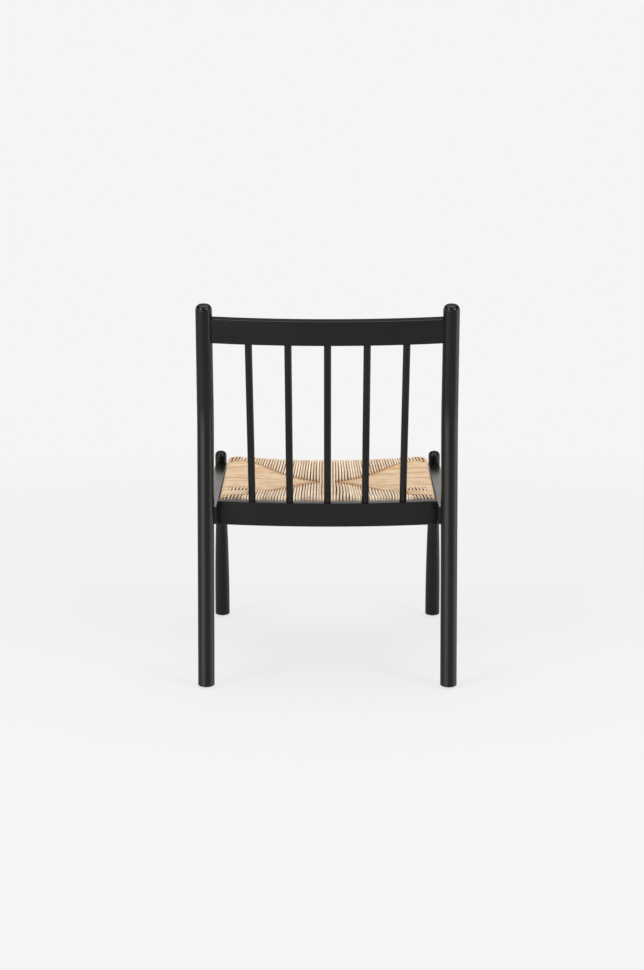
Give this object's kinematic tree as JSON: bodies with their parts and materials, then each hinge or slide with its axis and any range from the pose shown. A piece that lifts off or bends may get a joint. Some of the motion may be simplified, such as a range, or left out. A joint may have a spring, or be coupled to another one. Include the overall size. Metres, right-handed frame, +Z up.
{
  "type": "lounge chair",
  "caption": "Armless spindle-back lounge chair: black round posts and legs, bowed flat rails, slim round spindles and a drop-in seat woven in natural paper cord.",
  "frame": {"origin": "on the floor under the middle of the chair's bounding box", "axes": "+Z up, +Y to the front (the way a sitter faces), +X to the sitter's right"},
  "size_m": [0.534, 0.663, 0.797],
  "materials": {
    "black_wood": "satin black lacquer on turned and planed hardwood, grain barely showing",
    "raw_wood": "planed unfinished beech, hidden inside and under the seat",
    "cord": "natural twisted paper cord, matt with a slight sheen",
    "steel": "zinc-plated steel screws and nails",
    "nylon": "off-white moulded nylon glides"
  },
  "bodies": {
    "root": {"rear_post_left": "black_wood", "rear_post_right": "black_wood", "front_leg_left": "black_wood", "front_leg_right": "black_wood", "side_rail_left": "black_wood", "side_rail_right": "black_wood", "rear_seat_rail": "black_wood", "front_seat_rail": "black_wood", "top_rail": "black_wood", "spindle_1": "black_wood", "spindle_2": "black_wood", "spindle_3": "black_wood", "spindle_4": "black_wood", "spindle_5": "black_wood", "seat_bar_front": "raw_wood", "seat_bar_rear": "raw_wood", "seat_bar_left": "raw_wood", "seat_bar_right": "raw_wood", "seat_bar_dowels": "raw_wood", "woven_seat": "cord", "seat_screws": "steel", "corner_block_front_left": "raw_wood", "corner_block_front_right": "raw_wood", "corner_block_rear_left": "raw_wood", "corner_block_rear_right": "raw_wood", "corner_block_screws": "steel", "glide_front_left": "nylon", "glide_front_right": "nylon", "glide_rear_left": "nylon", "glide_rear_right": "nylon", "glide_nails": "steel"}
  },
  "joints": []
}
